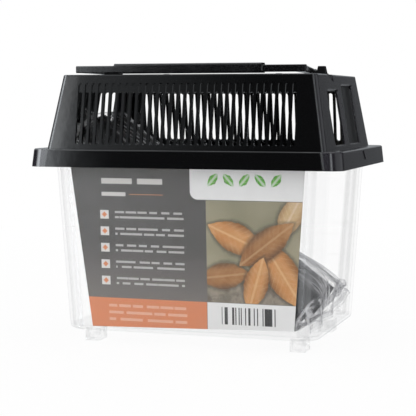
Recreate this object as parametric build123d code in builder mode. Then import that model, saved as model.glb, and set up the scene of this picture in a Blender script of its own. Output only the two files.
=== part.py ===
from build123d import *
from math import acos, atan2, cos, hypot, sin
import os

# Keeper box for live feeder insects: a clear moulded tub on four feet, a black vented lid with a
# folding handle and a hatch, a printed card behind the front wall, and two dispensing tubes in a bag.
# Millimetres, +Z up, +X along the box and -Y to the front. The origin is on the ground, under the
# middle of the box.

# ---------------------------------------------------------------- driving dimensions
# Tub
foot_height = 7.5
foot_width = 9.0
foot_depth = 12.0
foot_inset_side = 9.8        # from the edge of the tub's underside, front and rear
foot_inset_end = 8.8         # and at the ends
foot_edge_radius = 0.8
tub_base_length = 148.6      # outside, at the underside of the floor
tub_base_width = 99.6
tub_mouth_length = 160.3     # outside, at the mouth
tub_mouth_width = 111.1
tub_height = 101.8           # underside of the floor to the mouth
tub_corner_radius = 12.0
tub_base_edge_radius = 3.0
tub_wall = 1.6
tub_floor = 2.0
flange_thickness = 2.4
flange_reach_end = 6.85      # how far the mouth flange stands out at the ends
flange_reach_side = 4.2      # and along the sides
flange_corner_radius = 5.0

# Lid
lid_fit_gap = 0.5            # between the flange and the skirt
skirt_wall = 1.5
skirt_flare = 1.0            # per side, from the ledge down to the lower edge
skirt_drop = 8.1             # below the mouth of the tub
skirt_corner_radius = 7.0
skirt_edge_radius = 1.1
ledge_thickness = 2.0
ledge_width_end = 8.45       # ledge between the skirt and the housing
ledge_width_side = 3.25
housing_height = 41.4
housing_lean_end = 7.05      # how far a wall leans in over the height
housing_lean_side = 7.5
housing_corner_radius = 2.5
housing_edge_radius = 0.9
housing_wall = 2.0
lid_top_wall = 2.4

# Vent slots in both long walls
slot_pitch = 4.0
slot_width = 2.5
slot_margin = 9.2            # plain wall beside the slots, at the top of the housing
slot_sill = 2.7              # plain wall under a slot, above the ledge
slot_head = 9.9              # plain wall over a slot, below the top
groove_head = 4.9            # the shallow groove above each slot ends this far below the top
groove_depth = 0.8

# Tube port and blind panel in each end wall
post_width = 9.0             # between the port and the panel
port_width = 28.0
port_head = 9.0
port_corner_radius = 3.0
panel_width = 31.0
panel_head = 6.0
panel_depth = 1.7
panel_corner_radius = 2.5
panel_back_wall = 1.5
mouth_bevel = 0.8            # softened edge round the port and the panel
notch_width = 11.5           # small notch in the top edge above the port
notch_height = 4.4
notch_depth = 1.1
notch_shallow_end = 0.6      # height left at its far end
notch_offset = 13.0          # its upright side, from the middle
pull_mark_width = 7.0        # small raised triangle on the skirt's end
pull_mark_height = 5.0
pull_mark_rise = 0.35
pull_mark_from_top = 1.4
pull_mark_offset = 2.0

# Handle and its lugs
pivot_inset = 9.0            # middle of a lug, from the end of the lid's top
pivot_rise = 1.9             # pivot axis above the lid's top
pivot_pin_radius = 1.1
pivot_bore_clearance = 0.05
pivot_pin_length = 3.2
lug_base_length = 5.5
lug_base_width = 7.0
lug_top_length = 3.8
lug_top_width = 3.6
lug_height = 5.1
lug_foot_margin = 0.3
lug_foot_height = 0.9
eye_radius = 1.6
eye_length = 3.4
eye_side_gap = 0.3           # between the eye and the lug's foot
bar_front_inset = 4.9        # middle of the bar, from the front edge of the lid's top
bar_end_inset = 7.2          # end of the bar, from the end of the lid's top
bar_depth = 5.0
bar_height = 3.9
bar_clearance = 1.0          # under the bar
grip_half_length = 42.7
grip_depth = 8.0
grip_height = 5.5
grip_front_step = 1.5        # the grip stands this far in front of the bar
grip_clearance = 0.5
arm_width = 6.5
arm_end_height = 2.8
handle_edge_radius = 0.7

# Hatch in the lid's top
hatch_length = 66.0
hatch_depth = 31.0
hatch_thickness = 1.6
hatch_proud = 0.5            # above the lid's top
hatch_gap = 0.3              # round the hatch in its recess
hatch_seat_gap = 0.1         # under the hatch
hatch_seat_width = 3.2       # ledge that the hatch rests on
hatch_corner_radius = 0.5
hatch_barrel_radius = 1.2
hatch_pin_radius = 0.7
hatch_bore_clearance = 0.05
hatch_pin_length = 2.6
hatch_lug_length = 3.4
hatch_lug_radius = 1.5
hatch_tab_length = 14.0
hatch_tab_depth = 3.0
hatch_scoop_gap = 2.2        # finger room round the tab

# Printed card behind the front wall
card_thickness = 0.4
card_gap = 0.5               # to the inside of the tub's front wall
card_top_left_margin = 9.95  # to the inside of the tub's end wall, at the mouth
card_top_right_margin = 10.35
card_bottom_left_margin = 15.5   # and at the floor
card_bottom_right_margin = 11.6
card_top_below_mouth = 4.0
card_left_above_floor = 0.3
card_right_above_floor = 3.4

# Dispensing tubes, their caps and the bag that they are packed in
tube_length = 160.0
tube_outer_radius = 12.5
tube_wall = 1.4
tube_pitch = 30.0            # between the two axes
tube_collar_radius = 13.2
tube_collar_length = 2.0
tube_collar_from_top = 12.0
cap_flange_radius = 13.2
cap_flange_thickness = 1.8
cap_spigot_length = 8.0
cap_spigot_clearance = 0.08
cap_spigot_wall = 1.2
cap_tab_width = 12.0
cap_tab_height = 2.0
cap_tab_thickness = 2.0
bag_film = 0.5
bag_gap = 0.2                # film to the collars and caps
bag_end_gap = 0.5
bag_rest_gap = 0.35          # to the floor and the right end wall, where the bag stands
bag_left_gap = 3.85          # to the left end wall, at the mouth
bag_front_gap = 1.0          # to the card
bag_flap_gap = 2.3           # rear edge of the bag's empty flap to the rear wall
bag_flap_thickness = 3.0

# ---------------------------------------------------------------- heights and sizes worked out
tub_top_z = foot_height + tub_height
floor_top_z = foot_height + tub_floor
flange_length = tub_mouth_length + 2 * flange_reach_end
flange_width = tub_mouth_width + 2 * flange_reach_side
skirt_inner_length = flange_length + 2 * lid_fit_gap
skirt_inner_width = flange_width + 2 * lid_fit_gap
skirt_top_length = skirt_inner_length + 2 * skirt_wall
skirt_top_width = skirt_inner_width + 2 * skirt_wall
skirt_bottom_z = tub_top_z - skirt_drop
ledge_top_z = tub_top_z + ledge_thickness
lid_top_z = ledge_top_z + housing_height
housing_base_length = skirt_top_length - 2 * ledge_width_end
housing_base_width = skirt_top_width - 2 * ledge_width_side
pivot_z = lid_top_z + pivot_rise
end_lean_angle = atan2(housing_lean_end, housing_height)
side_lean_angle = atan2(housing_lean_side, housing_height)


def housing_size(z, wall=0.0):
    """Length and width of the lid's leaning housing at a height, less a wall on each side."""
    share = (z - ledge_top_z) / housing_height
    length = housing_base_length - 2 * housing_lean_end * share - 2 * wall
    width = housing_base_width - 2 * housing_lean_side * share - 2 * wall
    return length, width


def tub_size(z, wall=0.0):
    """Length and width of the tub at a height, less a wall on each side."""
    share = (z - foot_height) / tub_height
    length = tub_base_length + (tub_mouth_length - tub_base_length) * share - 2 * wall
    width = tub_base_width + (tub_mouth_width - tub_base_width) * share - 2 * wall
    return length, width


lid_top_length, lid_top_width = housing_size(lid_top_z)
pivot_x = lid_top_length / 2 - pivot_inset
bar_half_length = lid_top_length / 2 - bar_end_inset
bar_reach = lid_top_width / 2 - bar_front_inset      # pivot axis to the middle of the bar
inner_mouth_length = tub_size(tub_top_z, tub_wall)[0]
inner_floor_length, inner_floor_width = tub_size(floor_top_z, tub_wall)

# ---------------------------------------------------------------- tub
with BuildPart() as tub:
    for z in (foot_height, tub_top_z):
        with BuildSketch(Plane.XY.offset(z)):
            RectangleRounded(*tub_size(z), tub_corner_radius)
    loft(ruled=True)
    fillet(tub.faces().sort_by(Axis.Z)[0].edges(), tub_base_edge_radius)
    with BuildSketch(Plane.XY.offset(tub_top_z - flange_thickness)):
        RectangleRounded(flange_length, flange_width, flange_corner_radius)
    extrude(amount=flange_thickness)
    for z in (floor_top_z, tub_top_z):
        with BuildSketch(Plane.XY.offset(z)):
            RectangleRounded(*tub_size(z, tub_wall), tub_corner_radius - tub_wall)
    loft(ruled=True, mode=Mode.SUBTRACT)
    # Four moulded feet, set in from the corners
    foot_x = tub_base_length / 2 - foot_inset_end - foot_width / 2
    foot_y = tub_base_width / 2 - foot_inset_side - foot_depth / 2
    with BuildSketch(Plane.XY):
        with GridLocations(2 * foot_x, 2 * foot_y, 2, 2):
            RectangleRounded(foot_width, foot_depth, foot_edge_radius)
    extrude(amount=foot_height)
tub.part.label = "tub"

# ---------------------------------------------------------------- lid
end_wall_planes = []
side_wall_planes = []
skirt_end_planes = []
skirt_lean_angle = atan2(skirt_flare, skirt_drop + ledge_thickness)
for side in (1, -1):
    end_wall_planes.append(
        Plane(
            origin=(side * housing_base_length / 2, 0, ledge_top_z),
            x_dir=(0, side, 0),
            z_dir=(side * cos(end_lean_angle), 0, sin(end_lean_angle)),
        )
    )
    side_wall_planes.append(
        Plane(
            origin=(0, -side * housing_base_width / 2, ledge_top_z),
            x_dir=(side, 0, 0),
            z_dir=(0, -side * cos(side_lean_angle), sin(side_lean_angle)),
        )
    )
    skirt_end_planes.append(
        Plane(
            origin=(side * skirt_top_length / 2, 0, ledge_top_z),
            x_dir=(0, side, 0),
            z_dir=(side * cos(skirt_lean_angle), 0, sin(skirt_lean_angle)),
        )
    )

# Heights measured up the leaning walls
end_face_height = housing_height / cos(end_lean_angle)
side_face_height = housing_height / cos(side_lean_angle)
port_height = end_face_height - port_head - slot_sill
panel_height = end_face_height - panel_head - slot_sill
port_x = -(post_width + port_width) / 2
panel_x = (post_width + panel_width) / 2
port_y = slot_sill + port_height / 2
panel_y = slot_sill + panel_height / 2
slot_length = side_face_height - slot_head - slot_sill
groove_length = side_face_height - groove_head - slot_sill
slot_count = int((lid_top_length - 2 * slot_margin) / slot_pitch)

hatch_back_y = hatch_depth / 2
hatch_axis_z = lid_top_z + hatch_proud - hatch_thickness + hatch_barrel_radius
hatch_bottom_z = lid_top_z + hatch_proud - hatch_thickness
hatch_recess_depth = hatch_thickness - hatch_proud + hatch_seat_gap

with BuildPart() as lid:
    # Skirt and ledge, then the leaning housing on top
    with BuildSketch(Plane.XY.offset(skirt_bottom_z)):
        RectangleRounded(
            skirt_top_length + 2 * skirt_flare, skirt_top_width + 2 * skirt_flare, skirt_corner_radius
        )
    with BuildSketch(Plane.XY.offset(ledge_top_z)):
        RectangleRounded(skirt_top_length, skirt_top_width, skirt_corner_radius)
    loft(ruled=True)
    fillet(lid.faces().sort_by(Axis.Z)[-1].edges(), skirt_edge_radius)
    for z in (ledge_top_z, lid_top_z):
        with BuildSketch(Plane.XY.offset(z)):
            RectangleRounded(*housing_size(z), housing_corner_radius)
    loft(ruled=True)
    fillet(lid.faces().sort_by(Axis.Z)[-1].edges(), housing_edge_radius)
    # Hollow skirt round the tub's flange, and hollow housing above it
    with BuildSketch(Plane.XY.offset(skirt_bottom_z)):
        RectangleRounded(
            skirt_inner_length + 2 * skirt_flare,
            skirt_inner_width + 2 * skirt_flare,
            skirt_corner_radius - skirt_wall,
        )
    with BuildSketch(Plane.XY.offset(tub_top_z)):
        RectangleRounded(skirt_inner_length, skirt_inner_width, skirt_corner_radius - skirt_wall)
    loft(ruled=True, mode=Mode.SUBTRACT)
    for z in (tub_top_z, lid_top_z - lid_top_wall):
        with BuildSketch(Plane.XY.offset(z)):
            RectangleRounded(*housing_size(z, housing_wall), housing_corner_radius / 2)
    loft(ruled=True, mode=Mode.SUBTRACT)
    # Backing for the blind panel, inside each end wall
    with BuildSketch(*end_wall_planes):
        with Locations((panel_x, panel_y)):
            Rectangle(panel_width + 2 * panel_back_wall, panel_height + 2 * panel_back_wall)
    extrude(amount=-(panel_depth + panel_back_wall))
    # Blind panel and through port, with softened edges
    with BuildSketch(*end_wall_planes):
        with Locations((panel_x, panel_y)):
            RectangleRounded(panel_width, panel_height, panel_corner_radius)
    extrude(amount=-panel_depth, mode=Mode.SUBTRACT)
    with BuildSketch(*end_wall_planes):
        with Locations((port_x, port_y)):
            RectangleRounded(port_width, port_height, port_corner_radius)
    extrude(amount=-(housing_wall + panel_depth), mode=Mode.SUBTRACT)
    with BuildSketch(*end_wall_planes):
        with Locations((panel_x, panel_y)):
            RectangleRounded(
                panel_width + 2 * mouth_bevel,
                panel_height + 2 * mouth_bevel,
                panel_corner_radius + mouth_bevel,
            )
        with Locations((port_x, port_y)):
            RectangleRounded(
                port_width + 2 * mouth_bevel,
                port_height + 2 * mouth_bevel,
                port_corner_radius + mouth_bevel,
            )
    extrude(amount=-mouth_bevel, taper=45, mode=Mode.SUBTRACT)
    # Small raised triangle on each end of the skirt, where the thumbs pull the lid off
    with BuildSketch(*skirt_end_planes):
        with BuildLine():
            Polyline(
                (pull_mark_offset - pull_mark_width / 2, -pull_mark_from_top),
                (pull_mark_offset + pull_mark_width / 2, -pull_mark_from_top),
                (pull_mark_offset, -pull_mark_from_top - pull_mark_height),
                close=True,
            )
        make_face()
    extrude(amount=pull_mark_rise)
    # Notch in the top edge above each port
    with BuildSketch(*end_wall_planes):
        with BuildLine():
            Polyline(
                (-notch_offset - notch_width, end_face_height + notch_depth),
                (-notch_offset - notch_width, end_face_height - notch_shallow_end),
                (-notch_offset, end_face_height - notch_height),
                (-notch_offset, end_face_height + notch_depth),
                close=True,
            )
        make_face()
    extrude(amount=-notch_depth, mode=Mode.SUBTRACT)
    # Recess, opening and hinge lugs for the hatch
    with BuildSketch(Plane.XY.offset(lid_top_z)):
        with Locations((0, hatch_barrel_radius / 2)):
            RectangleRounded(
                hatch_length + 2 * hatch_gap,
                hatch_depth + hatch_barrel_radius + 2 * hatch_gap,
                hatch_corner_radius + hatch_gap,
            )
        with Locations((0, -hatch_depth / 2 - hatch_tab_depth / 2)):
            Rectangle(
                hatch_tab_length + 2 * hatch_scoop_gap, hatch_tab_depth + 2 * hatch_scoop_gap
            )
    extrude(amount=-hatch_recess_depth, mode=Mode.SUBTRACT)
    with BuildSketch(Plane.XY.offset(lid_top_z)):
        RectangleRounded(
            hatch_length - 2 * hatch_seat_width,
            hatch_depth - 2 * hatch_seat_width,
            hatch_corner_radius,
        )
    extrude(amount=-2 * lid_top_wall, mode=Mode.SUBTRACT)
    # Trapezoid lugs for the handle
    for side in (1, -1):
        lug_x = side * pivot_x
        with BuildSketch(Plane.XY.offset(lid_top_z)):
            with Locations((lug_x, 0)):
                Rectangle(lug_base_length + 2 * lug_foot_margin, lug_base_width + 2 * lug_foot_margin)
        extrude(amount=lug_foot_height)
        with BuildSketch(Plane.XY.offset(lid_top_z)):
            with Locations((lug_x, 0)):
                Rectangle(lug_base_length, lug_base_width)
        with BuildSketch(Plane.XY.offset(lid_top_z + lug_height)):
            with Locations((lug_x, 0)):
                Rectangle(lug_top_length, lug_top_width)
        loft(ruled=True)
        # Blind bore for the handle's pin, open towards the middle of the lid
        with BuildSketch(Plane.YZ.offset(lug_x)):
            with Locations((0, pivot_z)):
                Circle(pivot_pin_radius + pivot_bore_clearance)
        extrude(amount=-side * lug_base_length, mode=Mode.SUBTRACT)
        # Hinge lug for the hatch
        hatch_lug_x = side * (hatch_length / 2 + hatch_gap + hatch_lug_length / 2)
        with BuildSketch(Plane.YZ.offset(hatch_lug_x - hatch_lug_length / 2)):
            with Locations((hatch_back_y, hatch_axis_z)):
                Circle(hatch_lug_radius)
        extrude(amount=hatch_lug_length)
        with BuildSketch(Plane.YZ.offset(hatch_lug_x - side * hatch_lug_length / 2)):
            with Locations((hatch_back_y, hatch_axis_z)):
                Circle(hatch_pin_radius + hatch_bore_clearance)
        extrude(amount=side * (hatch_pin_length + hatch_gap), mode=Mode.SUBTRACT)
    # Vent slots, and the shallow groove that runs on above each
    with BuildSketch(*side_wall_planes):
        with Locations((0, slot_sill + slot_length / 2)):
            with GridLocations(slot_pitch, 0, slot_count, 1):
                SlotOverall(slot_length, slot_width, rotation=90)
    extrude(amount=-2 * housing_wall, mode=Mode.SUBTRACT)
    with BuildSketch(*side_wall_planes):
        with Locations((0, slot_sill + groove_length / 2)):
            with GridLocations(slot_pitch, 0, slot_count, 1):
                SlotOverall(groove_length, slot_width, rotation=90)
    extrude(amount=-groove_depth, mode=Mode.SUBTRACT)
lid.part.label = "lid"

# ---------------------------------------------------------------- handle
eye_inner_x = pivot_x - lug_base_length / 2 - lug_foot_margin - eye_side_gap - eye_length
eye_outer_x = eye_inner_x + eye_length
bar_bottom_z = lid_top_z + bar_clearance
bar_middle_z = bar_bottom_z + bar_height / 2
grip_middle_z = lid_top_z + grip_clearance + grip_height / 2
grip_y = -(bar_reach + bar_depth / 2 + grip_front_step - grip_depth / 2)

with BuildPart() as handle:
    with BuildSketch(Plane.YZ.offset(-bar_half_length)):
        with Locations((-bar_reach, bar_middle_z)):
            RectangleRounded(bar_depth, bar_height, handle_edge_radius)
    extrude(amount=2 * bar_half_length)
    with BuildSketch(Plane.YZ.offset(-grip_half_length)):
        with Locations((grip_y, grip_middle_z)):
            RectangleRounded(grip_depth, grip_height, 2 * handle_edge_radius)
    extrude(amount=2 * grip_half_length)
    for side in (1, -1):
        # Arm: wide at the bar, narrowing and sinking to the eye
        with BuildSketch(Plane.XZ.offset(bar_reach)):
            with Locations((side * (bar_half_length - arm_width / 2), bar_middle_z)):
                RectangleRounded(arm_width, bar_height, handle_edge_radius)
        with BuildSketch(Plane.XZ):
            with Locations((side * (eye_inner_x + eye_outer_x) / 2, pivot_z)):
                RectangleRounded(eye_length, arm_end_height, handle_edge_radius)
        loft(ruled=True)
        # Eye, with the pin that snaps into the lid's lug
        with BuildSketch(Plane.YZ.offset(side * eye_inner_x)):
            with Locations((0, pivot_z)):
                Circle(eye_radius)
        extrude(amount=side * eye_length)
        with BuildSketch(Plane.YZ.offset(side * eye_outer_x)):
            with Locations((0, pivot_z)):
                Circle(pivot_pin_radius)
        extrude(amount=side * pivot_pin_length)
handle.part.label = "handle"

# ---------------------------------------------------------------- hatch
with BuildPart() as hatch:
    with BuildSketch(Plane.XY.offset(hatch_bottom_z)):
        RectangleRounded(hatch_length, hatch_depth, hatch_corner_radius)
        with Locations((0, -(hatch_depth + hatch_tab_depth) / 2)):
            Rectangle(hatch_tab_length, hatch_tab_depth)
    extrude(amount=hatch_thickness)
    # Hinge barrel along the back edge, with a pin at each end
    with BuildSketch(Plane.YZ.offset(-hatch_length / 2)):
        with Locations((hatch_back_y, hatch_axis_z)):
            Circle(hatch_barrel_radius)
    extrude(amount=hatch_length)
    with BuildSketch(Plane.YZ.offset(-hatch_length / 2 - hatch_pin_length)):
        with Locations((hatch_back_y, hatch_axis_z)):
            Circle(hatch_pin_radius)
    extrude(amount=hatch_length + 2 * hatch_pin_length)
hatch.part.label = "hatch"

# ---------------------------------------------------------------- printed card
# The card leans with the front wall, a little inside it
front_lean_angle = atan2((tub_mouth_width - tub_base_width) / 2, tub_height)
card_floor_y = -inner_floor_width / 2 + card_gap
card_plane = Plane(
    origin=(0, card_floor_y, floor_top_z),
    x_dir=(1, 0, 0),
    z_dir=(0, -cos(front_lean_angle), -sin(front_lean_angle)),
)
card_left_edge = card_left_above_floor / cos(front_lean_angle)
card_right_edge = card_right_above_floor / cos(front_lean_angle)
card_high_edge = (tub_top_z - card_top_below_mouth - floor_top_z) / cos(front_lean_angle)
with BuildPart() as label_card:
    with BuildSketch(card_plane):
        with BuildLine():
            Polyline(
                (card_bottom_left_margin - inner_floor_length / 2, card_left_edge),
                (inner_floor_length / 2 - card_bottom_right_margin, card_right_edge),
                (inner_mouth_length / 2 - card_top_right_margin, card_high_edge),
                (card_top_left_margin - inner_mouth_length / 2, card_high_edge),
                close=True,
            )
        make_face()
    extrude(amount=-card_thickness)
label_card.part.label = "label_card"

# ---------------------------------------------------------------- tubes and caps
# They lie in their bag across the box, from the floor at the right end wall up to the left one
bag_contents_length = tube_length + cap_flange_thickness + cap_tab_height
bag_inner_radius = max(tube_collar_radius, cap_flange_radius) + bag_gap
bag_outer_radius = bag_inner_radius + bag_film
bag_end_reach = bag_end_gap + bag_film
bag_length = bag_contents_length + 2 * bag_end_reach
bag_right_x = tub_size(floor_top_z + 2 * bag_outer_radius, tub_wall)[0] / 2 - bag_rest_gap
bag_run = bag_right_x + inner_mouth_length / 2 - bag_left_gap
bag_diagonal = hypot(bag_length, 2 * bag_outer_radius)
slope = atan2(2 * bag_outer_radius, bag_length) + acos(bag_run / bag_diagonal)
tube_direction = (-cos(slope), 0, sin(slope))      # up along a tube, from its open lower end
tube_low_end_x = bag_right_x - bag_outer_radius * sin(slope) - bag_end_reach * cos(slope)
tube_low_end_z = floor_top_z + bag_rest_gap + bag_outer_radius * cos(slope) + bag_end_reach * sin(slope)
front_tube_y = card_floor_y + card_thickness + bag_front_gap + bag_outer_radius
tube_rows = (("front", front_tube_y), ("rear", front_tube_y + tube_pitch))


def along_tube(distance, y):
    """Plane square to the tubes, at a distance up from their lower ends."""
    origin = (
        tube_low_end_x + tube_direction[0] * distance,
        y,
        tube_low_end_z + tube_direction[2] * distance,
    )
    return Plane(origin=origin, x_dir=(0, 1, 0), z_dir=tube_direction)


tube_bore_radius = tube_outer_radius - tube_wall
packed = []
for row, axis_y in tube_rows:
    with BuildPart() as tube:
        with BuildSketch(along_tube(0, axis_y)):
            Circle(tube_outer_radius)
        extrude(amount=tube_length)
        with BuildSketch(along_tube(tube_length - tube_collar_from_top, axis_y)):
            Circle(tube_collar_radius)
        extrude(amount=tube_collar_length)
        with BuildSketch(along_tube(0, axis_y)):
            Circle(tube_bore_radius)
        extrude(amount=tube_length, mode=Mode.SUBTRACT)
    tube.part.label = "tube_" + row
    packed.append(tube.part)
    with BuildPart() as cap:
        with BuildSketch(along_tube(tube_length, axis_y)):
            Circle(cap_flange_radius)
        extrude(amount=cap_flange_thickness)
        with BuildSketch(along_tube(tube_length, axis_y)):
            Circle(tube_bore_radius - cap_spigot_clearance)
            Circle(tube_bore_radius - cap_spigot_clearance - cap_spigot_wall, mode=Mode.SUBTRACT)
        extrude(amount=-cap_spigot_length)
        with BuildSketch(along_tube(tube_length + cap_flange_thickness, axis_y)):
            SlotOverall(cap_tab_width, cap_tab_thickness)
        extrude(amount=cap_tab_height)
    cap.part.label = "tube_cap_" + row
    packed.append(cap.part)

# ---------------------------------------------------------------- bag
# Film drawn round both tubes, with an empty flap to the rear
bag_flap_y = inner_floor_width / 2 - bag_flap_gap
bag_layers = (
    (bag_film, Mode.ADD),
    (0.0, Mode.SUBTRACT),
)
with BuildPart() as tube_bag:
    for film, mode in bag_layers:
        flap_radius = bag_flap_thickness / 2 - bag_film + film
        with BuildSketch(along_tube(-bag_end_gap - film, 0)):
            for row, axis_y in tube_rows:
                with Locations((axis_y, 0)):
                    Circle(bag_inner_radius + film)
            with Locations((bag_flap_y - bag_flap_thickness / 2, 0)):
                Circle(flap_radius)
            make_hull()
        extrude(amount=bag_contents_length + 2 * (bag_end_gap + film), mode=mode)
tube_bag.part.label = "tube_bag"

# ---------------------------------------------------------------- files
os.makedirs("parts", exist_ok=True)
pieces = [tub.part, lid.part, handle.part, hatch.part, label_card.part, tube_bag.part] + packed
for piece in pieces:
    export_step(piece, "parts/" + piece.label + ".step")
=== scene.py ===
import math

import bpy
import numpy as np
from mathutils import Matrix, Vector


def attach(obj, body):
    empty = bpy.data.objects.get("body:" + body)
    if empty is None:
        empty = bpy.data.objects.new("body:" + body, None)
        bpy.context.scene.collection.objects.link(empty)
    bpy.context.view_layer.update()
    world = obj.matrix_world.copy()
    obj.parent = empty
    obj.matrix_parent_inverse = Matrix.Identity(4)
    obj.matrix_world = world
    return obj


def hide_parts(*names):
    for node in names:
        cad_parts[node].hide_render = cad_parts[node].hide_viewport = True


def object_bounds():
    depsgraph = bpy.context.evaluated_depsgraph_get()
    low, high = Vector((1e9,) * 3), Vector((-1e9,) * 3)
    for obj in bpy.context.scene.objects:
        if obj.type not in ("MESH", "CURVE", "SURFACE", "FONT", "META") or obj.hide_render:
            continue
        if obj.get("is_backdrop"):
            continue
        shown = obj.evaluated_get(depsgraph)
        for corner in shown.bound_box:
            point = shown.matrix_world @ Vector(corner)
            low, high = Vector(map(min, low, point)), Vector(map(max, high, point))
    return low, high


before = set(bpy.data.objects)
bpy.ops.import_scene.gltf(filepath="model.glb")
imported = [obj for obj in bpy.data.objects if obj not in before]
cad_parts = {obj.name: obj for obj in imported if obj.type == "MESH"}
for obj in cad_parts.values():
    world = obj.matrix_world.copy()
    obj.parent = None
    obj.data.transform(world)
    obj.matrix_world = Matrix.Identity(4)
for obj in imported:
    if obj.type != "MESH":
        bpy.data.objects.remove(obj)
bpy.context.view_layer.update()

# ------------------------------------------------------------------ camera and plain studio
# The camera stands to the right of the front, level with the lid, and looks slightly down. A long lens
# keeps the box's upright edges nearly parallel.
camera_data = bpy.data.cameras.new("camera")
camera_data.sensor_width = 36
camera_data.lens = 115.1
camera_data.clip_start = 0.01
camera = bpy.data.objects.new("camera", camera_data)
camera.location = (0.2379, -0.7435, 0.1376)
camera.rotation_euler = (math.radians(85.43), 0, math.radians(18.0))
bpy.context.scene.collection.objects.link(camera)
bpy.context.scene.camera = camera
bpy.context.scene.view_settings.view_transform = "Standard"
# A ray crosses many clear walls and layers of film, and each of them counts as a bounce
bpy.context.scene.cycles.transparent_max_bounces = 32


class Tone:
    """A socket in a node tree. Sums on it add Math nodes, and node() adds any other node."""

    def __init__(self, tree, socket=None):
        self.tree = tree
        self.socket = socket

    def node(self, kind, settings=None, sockets=None, output=0):
        """Adds a node: first its settings, such as a ramp's stops, then its sockets' values or links."""
        made = self.tree.nodes.new("ShaderNode" + kind)
        for name, value in (settings or {}).items():
            setattr(made, name, value)
        for name, value in (sockets or {}).items():
            if isinstance(value, Tone):
                self.tree.links.new(value.socket, made.inputs[name])
            else:
                made.inputs[name].default_value = value
        return Tone(self.tree, made.outputs[output] if len(made.outputs) else None)

    def math(self, operation, *values):
        return self.node("Math", {"operation": operation}, dict(enumerate(values)))

    def __add__(self, other):
        return self.math("ADD", self, other)

    def __radd__(self, other):
        return self.math("ADD", other, self)

    def __sub__(self, other):
        return self.math("SUBTRACT", self, other)

    def __rsub__(self, other):
        return self.math("SUBTRACT", other, self)

    def __mul__(self, other):
        return self.math("MULTIPLY", self, other)

    def __rmul__(self, other):
        return self.math("MULTIPLY", other, self)

    def __truediv__(self, other):
        return self.math("DIVIDE", self, other)

    def __abs__(self):
        return self.math("ABSOLUTE", self)

    def floor(self):
        return self.math("FLOOR", self)

    def clamped(self):
        """The value kept between 0 and 1."""
        return self.node("Clamp", None, {0: self})

    def ramp(self, start, end):
        """0 up to start, 1 from end on, and a smooth step between them."""
        return self.node(
            "MapRange", {"interpolation_type": "SMOOTHSTEP"}, {0: self, 1: start, 2: end, 3: 0.0, 4: 1.0}
        )

    def blend(self, colour_a, colour_b):
        """colour_a where this mask is 0, colour_b where it is 1."""
        return self.node("Mix", {"data_type": "RGBA"}, {0: self, 6: colour_a, 7: colour_b}, 2)

    def noise(self, place, scale, detail=3.0, roughness=0.5):
        sockets = {"Vector": place, "Scale": scale, "Detail": detail, "Roughness": roughness}
        return self.node("TexNoise", None, sockets)

    def bump(self, height, strength, distance):
        return self.node("Bump", None, {"Height": height, "Strength": strength, "Distance": distance})


def new_finish(name):
    """An empty material, the Tone that builds in it, and its place on the piece in metres."""
    material = bpy.data.materials.new(name)
    material.use_nodes = True
    material.node_tree.nodes.clear()
    tones = Tone(material.node_tree)
    return material, tones, tones.node("TexCoord", None, None, "Object")


def finish_with(tones, surface):
    """Ends a material: the shader goes to its surface."""
    tones.node("OutputMaterial", None, {"Surface": surface})


# The floor is a plain pale sheet. It shows white to the camera, still takes a faint shadow near the box,
# and isn't there for gloss or from below.
floor_reach, floor_level = 30, -0.0001
floor_ways = ((-1, -1), (1, -1), (1, 1), (-1, 1))
floor_corners = [(way_x * floor_reach, way_y * floor_reach, floor_level) for way_x, way_y in floor_ways]
floor_mesh = bpy.data.meshes.new("floor")
floor_mesh.from_pydata(floor_corners, [], [(0, 1, 2, 3)])
floor = bpy.data.objects.new("floor", floor_mesh)
bpy.context.scene.collection.objects.link(floor)
floor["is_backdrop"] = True
material, tones, place = new_finish("pale_floor")
white_view = tones.node("Emission", None, {"Color": (1, 1, 1, 1), "Strength": 1.0})
pale = tones.node("BsdfDiffuse", None, {"Color": (0.86, 0.86, 0.86, 1)})
seen = tones.node("LightPath", None, None, "Is Camera Ray")
through = tones.node("LightPath", None, None, "Is Transmission Ray")
glossy = tones.node("LightPath", None, None, "Is Glossy Ray")
from_middle = tones.node("VectorMath", {"operation": "LENGTH"}, {0: place}, "Value")
white_share = 0.95 + from_middle.ramp(0.2, 0.7) * 0.05
plain = tones.node("MixShader", None, {0: (seen + through).clamped() * white_share, 1: pale, 2: white_view})
from_below = tones.node("NewGeometry", None, None, "Backfacing")
nothing = tones.node("BsdfTransparent", None, {"Color": (1, 1, 1, 1)})
finish_with(tones, tones.node("MixShader", None, {0: (glossy + from_below).clamped(), 1: plain, 2: nothing}))
floor_mesh.materials.append(material)

# The world is white to the camera and through clear plastic. To gloss it is a dark room with cool white
# cards at the left, right, front, back and overhead, and to matt surfaces an even fill.
world = bpy.data.worlds.new("studio")
bpy.context.scene.world = world
world.use_nodes = True
world.node_tree.nodes.clear()
sky = Tone(world.node_tree)
way = sky.node("TexCoord", None, None, "Generated")
across = sky.node("SeparateXYZ", None, {0: way}, "X")
upward = sky.node("SeparateXYZ", None, {0: way}, "Z")
onward = sky.node("SeparateXYZ", None, {0: way}, "Y")
leftward = 0.0 - across
left_card = leftward.ramp(0.40, 0.46) * leftward.ramp(0.92, 0.66) * onward.ramp(0.1, -0.25) * 10.5
left_glow = leftward.ramp(0.26, 0.46) * upward.ramp(0.2, 0.31) * 0.8
right_card = across.ramp(0.66, 0.86)
front_strip = across.ramp(0.12, 0.2) * across.ramp(0.42, 0.34) * onward.ramp(-0.6, -0.8) * 5.0
back_card = onward.ramp(0.5, 0.9) * across.ramp(0.18, 0.11) * 0.5
top_card = upward.ramp(0.55, 0.8) * 0.7
room = 0.06 + left_card + left_glow + right_card + front_strip + back_card + top_card
seen = sky.node("LightPath", None, None, "Is Camera Ray")
glossy = sky.node("LightPath", None, None, "Is Glossy Ray")
through = sky.node("LightPath", None, None, "Is Transmission Ray")
white = (seen + through).clamped()
even_fill = 0.8
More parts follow.
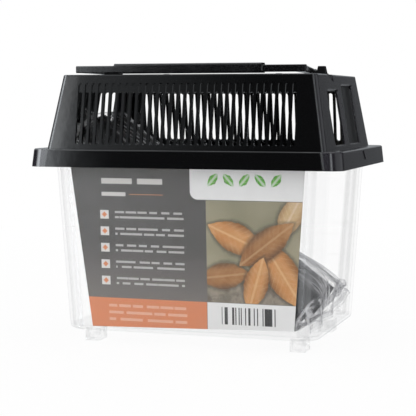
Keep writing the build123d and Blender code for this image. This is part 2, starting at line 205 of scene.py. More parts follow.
strength = white + (1 - white) * (glossy * room + (1 - glossy) * even_fill)
tint = glossy.blend((1, 1, 1, 1), (0.91, 0.96, 1.0, 1))
background = sky.node("Background", None, {"Color": tint, "Strength": strength})
sky.node("OutputWorld", None, {"Surface": background})


def soft_lamp(name, place, target, size, power):
    """A soft rectangular lamp that faces a target."""
    data = bpy.data.lights.new(name, "AREA")
    data.shape = "RECTANGLE"
    data.size, data.size_y = size
    data.energy = power
    lamp = bpy.data.objects.new(name, data)
    lamp.location = place
    lamp.rotation_euler = (Vector(target) - Vector(place)).to_track_quat("-Z", "Y").to_euler()
    bpy.context.scene.collection.objects.link(lamp)


soft_lamp("left_lamp", (-0.62, -0.62, 0.42), (0, 0, 0.1), (0.55, 0.7), 1.4)
soft_lamp("top_lamp", (0.1, -0.1, 1.1), (0, 0, 0.1), (0.9, 0.9), 2.5)

# ------------------------------------------------------------------ tub
# Clear polystyrene, moulded in one shot with its flange and four feet. It is polished, with faint flow
# marks from the mould and a trace of grey where a wall is seen edge on.
material, tones, place = new_finish("clear_polystyrene")
flow = tones.noise(place, 14.0, 2.0)
rubbed = tones.noise(tones.node("Mapping", None, {"Vector": place, "Scale": (25, 25, 160)}), 2.0, 4.0)
edge_on = tones.node("LayerWeight", None, {"Blend": 0.5}, "Facing")
rim = edge_on.ramp(0.80, 0.98)
height = tones.node("SeparateXYZ", None, {0: place}, "Z")
underside, corner_radius = 0.0075, 0.012
half_length, half_width = 0.0743, 0.0498
end_lean, side_lean = 0.0575, 0.0565
flange_reach, inside_floor, foot_top, foot_full = 0.0105, 0.0088, 0.0078, 0.0068
from_middle_x = abs(tones.node("SeparateXYZ", None, {0: place}, "X"))
from_middle_y = abs(tones.node("SeparateXYZ", None, {0: place}, "Y"))
past_corner_x = from_middle_x - (half_length - corner_radius) - (height - underside) * end_lean
past_corner_y = from_middle_y - (half_width - corner_radius) - (height - underside) * side_lean
# Painted refraction lines: the rounded corners, a line in each corner and a line at the inside floor's edge
# are made greyer and less clear.
corner = past_corner_x.ramp(-0.0006, 0.0012) * past_corner_y.ramp(-0.0006, 0.0012)
corner_refraction_line = (1 - abs(past_corner_y - flange_reach).ramp(0.0003, 0.0011)) * corner
floor_edge_refraction_line = (1 - abs(height - inside_floor).ramp(0.0008, 0.0022)).clamped()
# Painted shade in the feet: they are made greyer and less clear, with an uneven grain.
foot = height.ramp(foot_top, foot_full)
foot_grain = tones.noise(place, 260.0, 2.0).ramp(0.45, 0.65)
seen_share = 0.010 + rubbed.ramp(0.55, 0.85) * 0.02 + rim * 0.34 + corner * 0.04 + corner_refraction_line * 0.16
seen_share = seen_share + floor_edge_refraction_line * 0.05 + foot * (0.05 + foot_grain * 0.12)
clear = tones.node(
    "BsdfPrincipled",
    None,
    {
        "Base Color": flow.blend((0.50, 0.51, 0.53, 1), (0.66, 0.67, 0.69, 1)),
        "Roughness": 0.03 + rubbed * 0.05,
        "Alpha": seen_share,
        "Normal": tones.bump(flow, 0.03, 0.001),
    },
)
lamp_ray = tones.node("LightPath", None, None, "Is Shadow Ray")
open_air = tones.node("BsdfTransparent", None, {"Color": (0.98, 0.985, 0.985, 1)})
finish_with(tones, tones.node("MixShader", None, {0: lamp_ray, 1: clear, 2: open_air}))


def dress(node, material):
    """Gives a CAD node its finish."""
    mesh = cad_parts[node].data
    mesh.materials.clear()
    mesh.materials.append(material)


dress("tub", material)

# ------------------------------------------------------------------ printed card
# A glossy card insert that stands behind the tub's front wall. Its front is printed in plain fields: a
# warm grey panel over an orange foot band, two pale fields, and a picture field of dry leaves.
MM = 0.001
material, tones, place = new_finish("printed_card")
x = tones.node("SeparateXYZ", None, {0: place}, "X") / MM
y = tones.node("SeparateXYZ", None, {0: place}, "Y") / MM
z = tones.node("SeparateXYZ", None, {0: place}, "Z") / MM
paper_white = (0.80, 0.80, 0.80, 1)
card_reach, panel_edge, band_top, picture_top = 80, 11.7, 27.0, 83.8


def field(x0, x1, z0, z1, soft=0.25, level=z):
    """Mask of a printed rectangle, its sides in millimetres."""
    upright = x.ramp(x0, x0 + soft) * x.ramp(x1, x1 - soft)
    return upright * level.ramp(z0, z0 + soft) * level.ramp(z1, z1 - soft)


def words(height, pitch, seed, level):
    """Mask of small bars of uneven length, under level 0, that stand for a line of words."""
    place_in_line = (x + seed * 3.7) / pitch
    cell = place_in_line.floor()
    chance = tones.node("TexWhiteNoise", {"noise_dimensions": "1D"}, {"W": cell + seed * 7.3}, "Value")
    inked = (place_in_line - cell - chance * 0.5).ramp(0.64, 0.62)
    stroke_place = x * (2.6 / height)
    strokes = (stroke_place - stroke_place.floor()).ramp(0.78, 0.92)
    return level.ramp(-height, 0.3 - height) * level.ramp(0.0, -0.3) * inked * (1 - strokes * 0.55)


def leaf(beyond_x, beyond_z, length, width, turn, colours):
    """A dry leaf with a midrib and side veins: its mask, its soft shadow and its colour."""
    cosine, sine = math.cos(math.radians(turn)), math.sin(math.radians(turn))
    along = beyond_x * cosine + beyond_z * sine
    beside = abs(beyond_z * cosine - beyond_x * sine)
    share = along / (length / 2)
    within = (1 - share * share) * (width / 2) + ragged - beside
    vein_place = (along - beside * 0.9) / 3.4
    vein = abs(vein_place - vein_place.floor() - 0.5).ramp(0.10, 0.02)
    ribs = (vein * 0.45 + beside.ramp(0.9, 0.3)).clamped()
    body = (blotches * 0.7 + share * 0.25 + 0.1).clamped().blend(colours[0], colours[1])
    shaded = beside.ramp(width * 0.15, width * 0.55).blend(body, colours[2])
    return within.ramp(0.0, 0.5), within.ramp(-2.6, 0.2), (ribs * 0.6).blend(shaded, colours[3])


ragged = tones.noise(place, 420.0, 3.0) * 1.6 - 0.8
blotches = tones.noise(place, 150.0, 5.0, 0.6).ramp(0.3, 0.7)
haze = tones.noise(place, 26.0, 2.0)
speckle = tones.noise(place, 900.0, 2.0)

# The grey panel pales towards its foot
print_colour = z.ramp(20.0, 62.0).blend((0.150, 0.136, 0.125, 1), (0.062, 0.058, 0.055, 1))
print_colour = (speckle * 0.06).blend(print_colour, (0.4, 0.38, 0.36, 1))
orange = (haze * 0.3).blend((0.66, 0.235, 0.115, 1), (0.60, 0.26, 0.15, 1))
print_colour = field(-card_reach, panel_edge, 0, band_top).blend(print_colour, orange)

# Picture field: a blurred ground and leaves
ground_colour = haze.ramp(0.3, 0.7).blend((0.20, 0.19, 0.125, 1), (0.33, 0.30, 0.21, 1))
floor_colour = blotches.blend((0.13, 0.11, 0.085, 1), (0.30, 0.26, 0.21, 1))
picture = (z + haze * 30.0).ramp(62.0, 50.0).blend(ground_colour, floor_colour)
tan_leaf = ((0.50, 0.22, 0.075, 1), (0.62, 0.34, 0.15, 1), (0.20, 0.085, 0.03, 1), (0.70, 0.45, 0.24, 1))
brown_leaf = ((0.27, 0.125, 0.05, 1), (0.40, 0.20, 0.08, 1), (0.10, 0.05, 0.025, 1), (0.50, 0.31, 0.16, 1))
pale_leaf = ((0.55, 0.38, 0.20, 1), (0.60, 0.44, 0.27, 1), (0.33, 0.2, 0.1, 1), (0.72, 0.58, 0.42, 1))
# Each leaf's middle across and up, its length, width and turn in degrees, and its colours
leaves = (
    (60.0, 76.0, 30.0, 13.0, 62.0, pale_leaf),
    (22.0, 42.0, 30.0, 15.0, 8.0, brown_leaf),
    (55.0, 44.0, 46.0, 19.0, -58.0, tan_leaf),
    (29.0, 63.0, 36.0, 17.0, -24.0, tan_leaf),
    (46.0, 60.0, 40.0, 16.0, 38.0, brown_leaf),
    (40.0, 38.0, 32.0, 14.0, 74.0, tan_leaf),
)
for centre_x, centre_z, *form in leaves:
    mask, shadow, leaf_colour = leaf(x - centre_x, z - centre_z, *form)
    picture = (shadow * 0.6).blend(picture, (0.045, 0.036, 0.026, 1))
    picture = mask.blend(picture, leaf_colour)
print_colour = field(panel_edge, card_reach, band_top, picture_top).blend(print_colour, picture)

# Pale fields above and below the picture, the upper with a rounded corner
print_colour = field(panel_edge, card_reach, 0, band_top).blend(print_colour, paper_white)
short_x = tones.math("MAXIMUM", 7.2 - x, 0.0)
short_z = tones.math("MAXIMUM", 88.4 - z, 0.0)
from_corner = tones.math("SQRT", short_x * short_x + short_z * short_z)
print_colour = from_corner.ramp(4.6, 4.3).blend(print_colour, paper_white)

# Green leaves in a row in the upper pale field, leaning to and fro
green_start, green_pitch, green_height = 11.5, 9.0, 95.0
leaf_place = (x - green_start) / green_pitch
leaf_number = leaf_place.floor()
lean_way = 1 - tones.math("MODULO", leaf_number, 2.0) * 2
green = (blotches * 0.5).blend((0.10, 0.40, 0.045, 1), (0.24, 0.52, 0.10, 1))
green_colours = (green, green, (0.05, 0.2, 0.02, 1), paper_white)
from_leaf_x, from_leaf_z = (leaf_place - leaf_number - 0.5) * green_pitch, (z - green_height) * lean_way
mask, _, leaf_colour = leaf(from_leaf_x, from_leaf_z, 9.5, 5.0, 50.0, green_colours)
green_row = field(green_start, green_start + 5 * green_pitch, 89.0, 101.0)
print_colour = (mask * green_row).blend(print_colour, leaf_colour)

# A heading in plain bars, with a thin orange line
pale_ink = (0.62, 0.60, 0.58, 1)
heading_bars = ((-50.0, -31.0, 91.5, 95.2), (-28.5, -13.0, 91.5, 95.2), (-50.0, -35.0, 84.6, 87.4))
for start_x, end_x, low_z, high_z in heading_bars:
    print_colour = field(start_x, end_x, low_z, high_z, 0.6).blend(print_colour, pale_ink)
print_colour = field(-33.0, -13.0, 85.7, 86.3).blend(print_colour, (0.56, 0.24, 0.12, 1))

# Five rows, each a tab with a diamond and two lines of small type
rows_top, row_pitch = 77.0, 9.4
row = ((rows_top - z) / row_pitch).floor()
in_row = z - rows_top + row * row_pitch
rows_mask = field(-51.0, -1.0, rows_top - 5 * row_pitch, rows_top)
tab = field(-51.0, -45.6, -5.2, 0.0, 0.25, in_row) * rows_mask
print_colour = tab.blend(print_colour, (0.68, 0.66, 0.64, 1))
diamond = (abs(x + 48.3) + abs(in_row + 2.6)).ramp(2.0, 1.2) * rows_mask
print_colour = diamond.blend(print_colour, (0.62, 0.22, 0.10, 1))
type_start, line_pitch = 0.4, 2.9
line = ((-type_start - in_row) / line_pitch).floor()
type_mask = words(1.5, 7.1, row * 5.7 + line, in_row + type_start + line * line_pitch)
type_mask = type_mask * field(-42.0, -1.0, -4.9, -0.3, 0.1, in_row) * rows_mask
print_colour = (type_mask * 0.75).blend(print_colour, pale_ink)

# Three lines on the orange band, and plain upright bars in the lower pale field
slogan_top, line_pitch = 23.4, 3.9
line = ((slogan_top - z) / line_pitch).floor()
type_mask = words(1.9, 8.3, 40.2 + line * 3.3, z - slogan_top + line * line_pitch)
type_mask = type_mask * field(-47.0, 0.0, 11.7, 23.5, 0.1)
print_colour = (type_mask * 0.7).blend(print_colour, (0.80, 0.52, 0.40, 1))
bar_cell = (x / 0.62).floor()
bar_chance = tones.node("TexWhiteNoise", {"noise_dimensions": "1D"}, {"W": bar_cell}, "Value")
bars = field(20.0, 52.0, 14.8, 24.6, 0.1) * bar_chance.ramp(0.48, 0.5)
print_colour = bars.blend(print_colour, (0.05, 0.05, 0.05, 1))
print_colour = (blotches * 0.05).blend(print_colour, (0.3, 0.3, 0.3, 1))

# The back and the cut edges are bare grey board, with short fibres
fibres = tones.noise(tones.node("Mapping", None, {"Vector": place, "Scale": (900, 900, 240)}), 1.0, 3.0)
board = fibres.ramp(0.35, 0.7).blend((0.34, 0.325, 0.30, 1), (0.47, 0.455, 0.43, 1))
card_foot_y, card_foot_z, card_lean = -47.83, 9.8, 0.0564
behind_print = y - card_foot_y + (z - card_foot_z) * card_lean
back = behind_print.ramp(0.05, 0.12)

card_surface = tones.node(
    "BsdfPrincipled",
    None,
    {
        "Base Color": back.blend(print_colour, board),
        "Roughness": 0.34 + blotches * 0.08 + back * 0.4,
        "Specular IOR Level": 0.25,
        "Normal": tones.bump(haze, 0.05, 0.001),
    },
)
finish_with(tones, card_surface)
dress("label_card", material)

# ------------------------------------------------------------------ tubes
# Two black extruded tubes that lie side by side in the bag and slope up through the box to its left end.
# They have a fine grain and a faint bloom from handling.
material, tones, place = new_finish("black_tube")
grain = tones.noise(place, 900.0, 3.0)
wear = tones.noise(place, 40.0, 4.0)
tube_surface = tones.node(
    "BsdfPrincipled",
    None,
    {
        "Base Color": wear.ramp(0.45, 0.75).blend((0.005, 0.005, 0.0056, 1), (0.011, 0.0105, 0.011, 1)),
        "Roughness": 0.32 + grain * 0.2,
        "Normal": tones.bump(grain, 0.12, 0.0004),
    },
)
finish_with(tones, tube_surface)
dress("tube_front", material)
dress("tube_rear", material)

# ------------------------------------------------------------------ tube caps
# A moulded cap pushed over the upper end of each tube, in the same black but with a little more gloss.
# Its grip comes from the press fit alone.
material, tones, place = new_finish("black_cap")
grain = tones.noise(place, 700.0, 2.0)
cap_surface = tones.node(
    "BsdfPrincipled",
    None,
    {
        "Base Color": grain.blend((0.009, 0.009, 0.010, 1), (0.016, 0.016, 0.017, 1)),
        "Roughness": 0.22 + grain * 0.1,
        "Normal": tones.bump(grain, 0.06, 0.0003),
    },
)
finish_with(tones, cap_surface)
dress("tube_cap_front", material)
dress("tube_cap_rear", material)

# ------------------------------------------------------------------ lid
# The black lid is one moulding of polished styrene: a skirt that sits over the tub's flange, a sloping
# slotted housing, and a port and a blind panel in each end wall. The end walls and panels are less polished.
material, tones, place = new_finish("black_gloss")
across = abs(tones.node("SeparateXYZ", None, {0: place}, "X"))
height = tones.node("SeparateXYZ", None, {0: place}, "Z")
peel = tones.noise(place, 260.0, 2.0)
satin = tones.noise(place, 1400.0, 2.0)
smears = tones.noise(place, 30.0, 5.0, 0.6)
specks = tones.noise(place, 2300.0, 1.0).ramp(0.76, 0.80)
ledge_height, end_wall_lean = 0.1124, 0.17
depth_place = across + (height - ledge_height) * end_wall_lean
end_wall = depth_place.ramp(0.0775, 0.0782)
panel = end_wall * depth_place.ramp(0.0793, 0.0788)
black = end_wall.blend((0.0018, 0.0018, 0.0021, 1), (0.011, 0.0095, 0.013, 1))
black = (specks * 0.12).blend(black, (0.20, 0.20, 0.21, 1))
lid_surface = tones.node(
    "BsdfPrincipled",
    None,
    {
        "Base Color": panel.blend(black, (0.006, 0.0058, 0.0065, 1)),
        "Roughness": 0.05 + smears.ramp(0.4, 0.8) * 0.03 + end_wall * 0.16 + panel * 0.12,
        "Normal": tones.bump(peel * 0.8 + satin * 0.2, 0.018, 0.0004),
    },
)
finish_with(tones, lid_surface)
dress("lid", material)

# ------------------------------------------------------------------ handle
# The folding carrying handle is moulded in the same black and snaps into two ears on the lid's top. It
# lies flat here, and its grip is rubbed a little duller.
material, tones, place = new_finish("black_handle")
grain = tones.noise(place, 1100.0, 2.0)
rubbed = tones.noise(place, 60.0, 4.0)
handle_surface = tones.node(
    "BsdfPrincipled",
    None,
    {
        "Base Color": rubbed.ramp(0.5, 0.8).blend((0.002, 0.002, 0.0024, 1), (0.006, 0.006, 0.0066, 1)),
        "Roughness": 0.09 + rubbed * 0.08,
        "Normal": tones.bump(grain, 0.04, 0.0003),
    },
)
finish_with(tones, handle_surface)
dress("handle", material)

# ------------------------------------------------------------------ hatch
# A small clear door in the middle of the lid's top, moulded in clear styrene with its own pins at one
# long side.
material, tones, place = new_finish("clear_hatch")
flow = tones.noise(place, 30.0, 2.0)
hatch_surface = tones.node(
    "BsdfPrincipled",
    None,
    {
        "Base Color": flow.blend((0.90, 0.905, 0.91, 1), (0.95, 0.955, 0.96, 1)),
        "Roughness": 0.02 + flow * 0.04,
        "IOR": 1.45,
        "Transmission Weight": 1.0,
        "Normal": tones.bump(flow, 0.03, 0.001),
    },
)
lamp_ray = tones.node("LightPath", None, None, "Is Shadow Ray")
open_air = tones.node("BsdfTransparent", None, {"Color": (0.9, 0.905, 0.91, 1)})
finish_with(tones, tones.node("MixShader", None, {0: lamp_ray, 1: hatch_surface, 2: open_air}))
dress("hatch", material)

# ------------------------------------------------------------------ bag
# The clear film pouch that both tubes are packed in: a flat tube of film, heat sealed at both ends, with
# its empty rear part lying behind the tubes. The film is settled over the tubes by a small simulation.
rows, columns = 154, 176
half = columns // 2
slope = math.radians(37.28)
up_tube = np.array((-math.cos(slope), 0.0, math.sin(slope)))
off_tube = np.array((math.sin(slope), 0.0, math.cos(slope)))
across_tube = np.array((0.0, 1.0, 0.0))
low_end = np.array((64.85, 0.0, 21.52))
tube_places = (-32.46, -2.46)
contents_radius, contents_length = 13.45, 164.2
strip, mouth_run, cap_run = 4.5, 17.0, 15.5
film_floor, film_end, film_front, film_rear, tub_lean = 9.75, 72.65, -47.1, 47.6, 0.057
lid_end, lid_foot, lid_lean = 79.0, 109.0, 0.17
film_radius, flap_edge_y, flap_edge_radius = 13.6, 44.3, 1.4
slack_around, slack_along, half_seal = 1.04, 1.01, 0.15
low_seal_x, low_seal_y, low_seal_z, low_seal_width = 70.4, -45.6, 11.3, 90.8
high_seal_y, high_seal_width, flap_start_y, flap_blend = -47.0, 92.0, 2.0, 36.0

# Its section is the hull of both tubes and the empty flap.
turns = np.linspace(math.pi, -math.pi, 2881)[:-1]
circles = ((tube_places[0], film_radius), (tube_places[1], film_radius), (flap_edge_y, flap_edge_radius))
reach = np.array([y * np.cos(turns) + radius for y, radius in circles]).argmax(0)
centres, radii = np.array(circles)[reach].T
outline = np.stack((centres + radii * np.cos(turns), radii * np.sin(turns)), 1)
outline = np.vstack((outline, outline[:1]))
travelled = np.concatenate(([0.0], np.hypot(*np.diff(outline, axis=0).T).cumsum()))
places = np.arange(columns) / columns * travelled[-1]
section = np.stack([np.interp(places, travelled, outline[:, k]) for k in (0, 1)], 1)
around_step = travelled[-1] * slack_around / columns
film_length = 2 * strip + mouth_run + contents_length * slack_along + cap_run
along_step = film_length / (rows - 1)
run = np.arange(rows) * along_step

# It starts as flat strips at the right wall and beyond the caps, with the section between them.
share = np.arange(columns) / columns
width_share = 1 - np.abs(1 - 2 * share)
side = np.where(share < 0.5, 1.0, -1.0)
side[0] = side[half] = 0.0
low_y = low_seal_y + low_seal_width * width_share
in_flap = np.clip((low_y - flap_start_y) / flap_blend, 0, 1)
low_x = low_seal_x - 1.5 * np.sin(width_share * 21.0 + 0.6) * (1 - 0.7 * in_flap) + 2.3 * in_flap
low_z = low_seal_z + 0.00133 * (low_y - low_seal_y) ** 2 + 0.5 * np.sin(width_share * 9.0)
strip_way = np.array((0.0, 0.0, 1.0)) + in_flap[:, None] * (up_tube - (0.0, 0.0, 1.0))
high_y = high_seal_y + high_seal_width * width_share
high_lift = 2.5 * np.sin(width_share * 19.0 + 1.0) + side * half_seal
start = np.zeros((rows, columns, 3))
for row, gone in enumerate(run):
    along = np.clip((gone - strip - mouth_run) / slack_along, 0.5, contents_length - 0.5)
    body = low_end + up_tube * along + section[:, :1] * across_tube + section[:, 1:] * off_tube
    low = np.stack((low_x + side * half_seal, low_y, low_z), 1) + strip_way * min(gone, strip + 4)
    along = contents_length + cap_run * 0.42 + strip + gone - film_length
    high = low_end + up_tube * along + off_tube * high_lift[:, None] + across_tube * high_y[:, None]
    into_body = min(max((gone - strip) / mouth_run, 0.0), 1.0)
    out_of_body = min(max((film_length - strip - gone) / cap_run, 0.0), 1.0)
    near_low = 1 - math.sin(into_body * math.pi / 2) ** 0.8
    near_high = 1 - math.sin(out_of_body * math.pi / 2) ** 0.8
    start[row] = body + (low - body) * near_low + (high - body) * near_high

# It stands off the tubes over their mouths.
rise = np.interp(run - strip - mouth_run, (-14, -4, 6, 16, 34), (0.0, 4.0, 7.0, 5.5, 0.0))
loose = rise[:, None] * np.interp(share, (0.0, 0.05, 0.13, 0.25, 0.97, 1.0), (0.5, 1.0, 1.0, 0.1, 0.0, 0.5))
start += loose[:, :, None] * off_tube

# Its flap rises towards its corner at the right end wall.
flap_lift = np.interp(run - strip - mouth_run, (-17, -5, 30, 60), (0.0, 4.0, 4.0, 0.0))[:, None] * in_flap
start += flap_lift[:, :, None] * off_tube


def kept_clear(points):
    """Moves film points outside the tubes and inside the tub, the card and the lid."""
    offset = points - low_end
    along, off = offset @ up_tube, offset @ off_tube
    for tube_y in tube_places:
        beside = points[:, 1] - tube_y
        radius = np.hypot(off, beside) + 1e-9
        depth = np.where((along > -0.4) & (along < contents_length), contents_radius - radius, 0.0)
        from_low, from_high = along + 0.4, contents_length - along
        by_side = (depth > 0) & (depth <= np.minimum(from_low, from_high))
        push = np.where(by_side, depth, 0.0) / radius
        points += (push * off)[:, None] * off_tube + (push * beside)[:, None] * across_tube
        by_end = (depth > 0) & ~by_side
        out_of_end = np.where(from_low < from_high, -from_low, from_high) * by_end
        points += out_of_end[:, None] * up_tube
    x, y, z = points.T
    z[:] = np.maximum(z, film_floor)
    lean = (z - 9.5) * tub_lean
    x[:] = np.minimum(x, film_end + lean)
    x[:] = np.maximum(x, -np.minimum(film_end + lean, lid_end - lid_lean * (z - lid_foot)))
    y[:] = np.clip(y, film_front - lean, film_rear + lean)
    return points


# Neighbours in the grid hold their distance on the flat film. Points two apart give it some stiffness.
grid = np.arange(rows * columns).reshape(rows, columns)
rest_around = np.linalg.norm(np.roll(start, -1, 1) - start, axis=2)
free = np.interp(run, (strip, strip + 12, film_length - strip - 10, film_length - strip), (0, 1, 1, 0))
rest_around = rest_around + (around_step - rest_around) * free[:, None]
slant = np.hypot(rest_around, along_step)
full, slanting, bending = 1.0, 0.5, 0.14
ties = []
for parity in (0, 1):
    beside = np.roll(grid, -1, 1)
    ties.append((grid[:, parity::2], beside[:, parity::2], rest_around[:, parity::2], full))
    lower, upper = grid[parity:-1:2], grid[parity + 1 :: 2]
    ties.append((lower, upper, np.full(lower.shape, along_step), full))
    ties.append((lower, beside[parity + 1 :: 2], slant[parity:-1:2], slanting))
    ties.append((beside[parity:-1:2], upper, slant[parity:-1:2], slanting))
for phase in range(4):
    taken = np.arange(phase, columns, 4)
    ties.append((grid[:, taken], np.roll(grid, -2, 1)[:, taken], 2 * rest_around[:, taken], bending))
    upper = grid[phase + 2 :: 4]
    ties.append((grid[phase:-2:4], upper, np.full(upper.shape, 2 * along_step), bending))
ties = [(first.ravel(), second.ravel(), rest.ravel(), stiffness) for first, second, rest, stiffness in ties]

chance = np.random.default_rng(7)
seeds = chance.normal(0, 1.0, (rows, columns, 3))
for blur in range(60):
    drift = int(blur % 7 == 0)
    seeds = (seeds + np.roll(seeds, (1, drift), (0, 1)) + np.roll(seeds, (-1, -drift), (0, 1))) / 3
    if blur % 6 == 0:
        seeds = (seeds + np.roll(seeds, 1, 1) + np.roll(seeds, -1, 1)) / 3
loose_hold, firm_hold = 0.005, 0.06
hold = np.full((rows, columns, 1), loose_hold)
hold[(run < strip + 3) | (run > film_length - strip - 3)] = firm_hold
hold[:, half - 3 : half + 4] = firm_hold
top = np.arange(1, half)
under = columns - top
in_strip = np.flatnonzero((run <= strip) | (run >= film_length - strip))
in_low_strip = (run[in_strip] < 10)[:, None]
strip_push = np.where(in_low_strip, (half_seal, 0.0, 0.0), off_tube * half_seal)[:, None, :]
air_places = (-17, -4, 8, 22, 34, 120, 165, 178)
air = np.interp(run - strip - mouth_run, air_places, (0.2, 0.5, 0.9, 0.5, -0.35, -0.4, -0.3, 0))

points = (start + seeds / seeds.std() * 0.8).reshape(-1, 3)
points = kept_clear(points)
before = points.copy()
film_steps = 160
sweeps, kept_speed, film_weight, least_gap = 3, 0.9, 0.002, 0.5
for step in range(film_steps):
    sheet = points.reshape(rows, columns, 3)
    outward = np.cross(np.roll(sheet, -1, 1) - np.roll(sheet, 1, 1), np.gradient(sheet, axis=0))
    outward /= np.linalg.norm(outward, axis=2, keepdims=True) + 1e-9
    blow = outward * air[:, None, None] * (0.03 if step < film_steps * 0.7 else 0.012)
    blow[:, :, 2] -= film_weight
    carried = (points - before) * kept_speed
    before = points.copy()
    points = points + carried + blow.reshape(-1, 3)
    for sweep in range(sweeps):
        for first, second, rest, stiffness in ties:
            gap = points[second] - points[first]
            length = np.sqrt((gap * gap).sum(1)) + 1e-9
            move = gap * (0.5 * stiffness * (length - rest) / length)[:, None]
            points[first] += move
            points[second] -= move
    sheet = points.reshape(rows, columns, 3)
    sheet += (start - sheet) * hold
    lack = np.maximum(least_gap - (sheet[:, top] - sheet[:, under]) @ off_tube, 0) / 2
    sheet[:, top] += lack[:, :, None] * off_tube
    sheet[:, under] -= lack[:, :, None] * off_tube
    middle = (sheet[in_strip][:, top] + sheet[in_strip][:, under]) / 2
    sheet[np.ix_(in_strip, top)] = middle + strip_push
    sheet[np.ix_(in_strip, under)] = middle - strip_push
    points = kept_clear(sheet.reshape(-1, 3))

# It is closed at both seals, and each place keeps how sharply it is creased.
sheet = points.reshape(rows, columns, 3)
around_mean = (np.roll(sheet, -2, 1) + np.roll(sheet, 2, 1)) / 2
crease = np.linalg.norm(around_mean - sheet, axis=2)
crease[1:-1] = np.maximum(crease[1:-1], np.linalg.norm((sheet[2:] + sheet[:-2]) / 2 - sheet[1:-1], axis=2))
crease -= (2 * around_step) ** 2 / (2 * contents_radius)
crease = np.clip(crease / 0.6, 0, 1)
faces = []
for row in range(rows - 1):
    for column in range(columns):
        beside = (column + 1) % columns
        faces.append((grid[row, column], grid[row, beside], grid[row + 1, beside], grid[row + 1, column]))
for row, order in ((0, -1), (rows - 1, 1)):
    for column in range(half):
        corners = [grid[row, column], grid[row, column + 1]]
        corners += [grid[row, (columns - column - 1) % columns], grid[row, (columns - column) % columns]]
        corners = list(dict.fromkeys(corners))
        faces.append(tuple(corners[::order]))
bag_mesh = bpy.data.meshes.new("bag")
bag_mesh.from_pydata((points * MM).tolist(), [], [[int(corner) for corner in face] for face in faces])
bag_mesh.update()
bag_mesh.shade_smooth()
# Painted shade: the film under the tubes' mouths is marked here, and its material colours it dark and makes
# it less clear.
shade_under_mouth = np.interp(run - strip - mouth_run, (-15, -8, 14, 26), (0, 1, 1, 0))[:, None]
shade_under_mouth = shade_under_mouth * np.interp(share, (0.72, 0.8, 0.93, 0.97), (0, 1, 1, 0))
loose = np.clip(loose / 6.0, 0, 1) * np.interp(share, (0.0, 0.055, 0.075, 0.17, 0.21), (0, 0, 1, 1, 0))
for mark_name, level in (("crease", crease), ("loose", loose), ("shade_under_mouth", shade_under_mouth)):
    bag_mesh.attributes.new(mark_name, "FLOAT", "POINT").data.foreach_set("value", level.ravel())
film_map = bag_mesh.uv_layers.new(name="film")
corner_points = np.zeros(len(bag_mesh.loops), dtype=np.int64)
bag_mesh.loops.foreach_get("vertex_index", corner_points)
map_u = run[corner_points // columns] / film_length
map_v = (corner_points % columns) / columns
film_map.data.foreach_set("uv", np.stack((map_u, map_v), 1).ravel())
bag = bpy.data.objects.new("bag", bag_mesh)
bpy.context.scene.collection.objects.link(bag)

# The film is faint face on and milky where it is creased or seen edge on. The white along its sharp creases
# is a painted highlight, and the dark in its loose folds and under the tubes' mouths is painted shade.
material, tones, place = new_finish("bag_film")
creased = tones.node("Attribute", {"attribute_name": "crease"}, None, "Fac")
on_film = tones.node("UVMap", {"uv_map": "film"}, None, "UV")
streaks = tones.noise(tones.node("Mapping", None, {"Vector": on_film, "Scale": (26, 60, 1)}), 1.0, 5.0, 0.6)
folds = tones.noise(tones.node("Mapping", None, {"Vector": on_film, "Scale": (14, 30, 1)}), 1.0, 3.0)
edge_on = tones.node("LayerWeight", None, {"Blend": 0.5}, "Facing")
loose = tones.node("Attribute", {"attribute_name": "loose"}, None, "Fac")
shade_under_mouth = tones.node("Attribute", {"attribute_name": "shade_under_mouth"}, None, "Fac")
bands = tones.noise(tones.node("Mapping", None, {"Vector": on_film, "Scale": (9, 75, 1)}), 1.0, 4.0, 0.65)
milk = 0.02 + edge_on * edge_on * 0.24 + creased * creased * 0.6 + streaks.ramp(0.60, 0.78) * 0.10
milk = milk + loose * (0.22 + bands.ramp(0.42, 0.56) * 0.4) + shade_under_mouth * 0.4
tint = folds.ramp(0.35, 0.65).blend((0.42, 0.42, 0.44, 1), (0.86, 0.86, 0.88, 1))
# Painted shade: dark bands across the loose film over the mouths.
tint = (loose * bands.ramp(0.50, 0.62)).blend(tint, (0.10, 0.10, 0.11, 1))
# Painted shade: the film under the mouths is coloured dark.
tint = (shade_under_mouth * 0.8).blend(tint, (0.13, 0.125, 0.12, 1))
# Painted highlight: the sharpest creases are tinted near white.
crease_highlight = creased.ramp(0.45, 0.95)
tint = (crease_highlight * 0.85).blend(tint, (0.95, 0.95, 0.97, 1))
film = tones.node(
    "BsdfPrincipled",
    None,
    {
        "Base Color": tint,
        "Roughness": 0.12 + streaks * 0.1,
        "IOR": 1.6,
        "Alpha": milk.clamped() * 0.95,
        "Normal": tones.bump(streaks + folds * 0.5 + bands * loose * 2.0, 0.4, 0.0015),
    },
)
lamp_ray = tones.node("LightPath", None, None, "Is Shadow Ray")
open_air = tones.node("BsdfTransparent", None, {"Color": (0.9, 0.9, 0.9, 1)})
finish_with(tones, tones.node("MixShader", None, {0: lamp_ray, 1: film, 2: open_air}))
bag_mesh.materials.append(material)
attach(bag, "tub")
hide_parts("tube_bag")

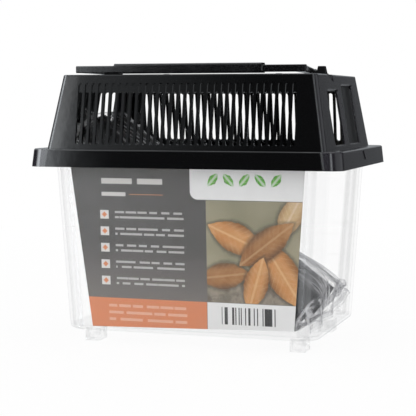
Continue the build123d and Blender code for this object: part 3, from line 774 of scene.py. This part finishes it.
# ------------------------------------------------------------------ seal ribs
# Both seals of the bag are crimped between heated jaws, which leave short ribs side by side across each
# flat strip. A node group sets one rib on every point of the strips' middle lines, turned across them.
material, tones, place = new_finish("sealed_film")
cloud = tones.noise(place, 500.0, 3.0)
pressed_film = tones.node(
    "BsdfPrincipled",
    None,
    {
        "Base Color": cloud.blend((0.74, 0.74, 0.76, 1), (0.88, 0.88, 0.90, 1)),
        "Roughness": 0.2 + cloud * 0.2,
        "Alpha": 0.10 + cloud * 0.12,
    },
)
lamp_ray = tones.node("LightPath", None, None, "Is Shadow Ray")
open_air = tones.node("BsdfTransparent", None, {"Color": (0.95, 0.95, 0.95, 1)})
finish_with(tones, tones.node("MixShader", None, {0: lamp_ray, 1: pressed_film, 2: open_air}))
rib_points, rib_ways = [], []
for row, far_row in ((1, 3), (rows - 2, rows - 4)):
    for column in range(1, half):
        near = (sheet[row, column] + sheet[row, columns - column]) / 2
        far = (sheet[far_row, column] + sheet[far_row, columns - column]) / 2
        rib_points.append(((near + far) / 2 * MM).tolist())
        rib_ways.append((far - near) / np.linalg.norm(far - near))
ribs_mesh = bpy.data.meshes.new("seal_ribs")
ribs_mesh.from_pydata(rib_points, [], [])
way_mark = ribs_mesh.attributes.new("rib_way", "FLOAT_VECTOR", "POINT")
way_mark.data.foreach_set("vector", np.array(rib_ways).ravel())
ribs = bpy.data.objects.new("seal_ribs", ribs_mesh)
bpy.context.scene.collection.objects.link(ribs)
crimp = bpy.data.node_groups.new("crimp", "GeometryNodeTree")
crimp.interface.new_socket("Geometry", in_out="INPUT", socket_type="NodeSocketGeometry")
inputs = {"Rib length": 2.6 * MM, "Rib width": 0.45 * MM, "Rib height": 0.62 * MM, "Unevenness": 0.12}
for name in inputs:
    crimp.interface.new_socket(name, in_out="INPUT", socket_type="NodeSocketFloat")
crimp.interface.new_socket("Geometry", in_out="OUTPUT", socket_type="NodeSocketGeometry")


def crimp_node(kind, **settings):
    """Adds a node to the crimp group."""
    made = crimp.nodes.new(kind)
    for name, value in settings.items():
        setattr(made, name, value)
    return made


entry, result = crimp_node("NodeGroupInput"), crimp_node("NodeGroupOutput")
rib_size = crimp_node("ShaderNodeCombineXYZ")
rib_box = crimp_node("GeometryNodeMeshCube")
rib_way = crimp_node("GeometryNodeInputNamedAttribute", data_type="FLOAT_VECTOR")
rib_way.inputs["Name"].default_value = "rib_way"
turned = crimp_node("FunctionNodeAlignRotationToVector", axis="Z")
uneven = crimp_node("FunctionNodeRandomValue", data_type="FLOAT")
uneven.inputs["Seed"].default_value = 3
lowest = crimp_node("ShaderNodeMath", operation="SUBTRACT")
lowest.inputs[0].default_value = 1.0
set_down = crimp_node("GeometryNodeInstanceOnPoints")
real = crimp_node("GeometryNodeRealizeInstances")
coated = crimp_node("GeometryNodeSetMaterial")
coated.inputs["Material"].default_value = material
for source, target in (
    (entry.outputs["Rib width"], rib_size.inputs["X"]),
    (entry.outputs["Rib height"], rib_size.inputs["Y"]),
    (entry.outputs["Rib length"], rib_size.inputs["Z"]),
    (rib_size.outputs[0], rib_box.inputs["Size"]),
    (rib_way.outputs[0], turned.inputs["Vector"]),
    (entry.outputs["Unevenness"], lowest.inputs[1]),
    (lowest.outputs[0], uneven.inputs[2]),
    (entry.outputs["Geometry"], set_down.inputs["Points"]),
    (rib_box.outputs["Mesh"], set_down.inputs["Instance"]),
    (turned.outputs[0], set_down.inputs["Rotation"]),
    (uneven.outputs[1], set_down.inputs["Scale"]),
    (set_down.outputs[0], real.inputs[0]),
    (real.outputs[0], coated.inputs[0]),
    (coated.outputs[0], result.inputs[0]),
):
    crimp.links.new(source, target)
modifier = ribs.modifiers.new("crimp", "NODES")
modifier.node_group = crimp
for socket in crimp.interface.items_tree:
    if socket.in_out == "INPUT" and socket.name in inputs:
        modifier[socket.identifier] = inputs[socket.name]
bpy.context.view_layer.update()
made = bpy.data.meshes.new_from_object(ribs.evaluated_get(bpy.context.evaluated_depsgraph_get()))
ribs.modifiers.remove(modifier)
ribs.data = made
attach(ribs, "tub")

low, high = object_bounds()
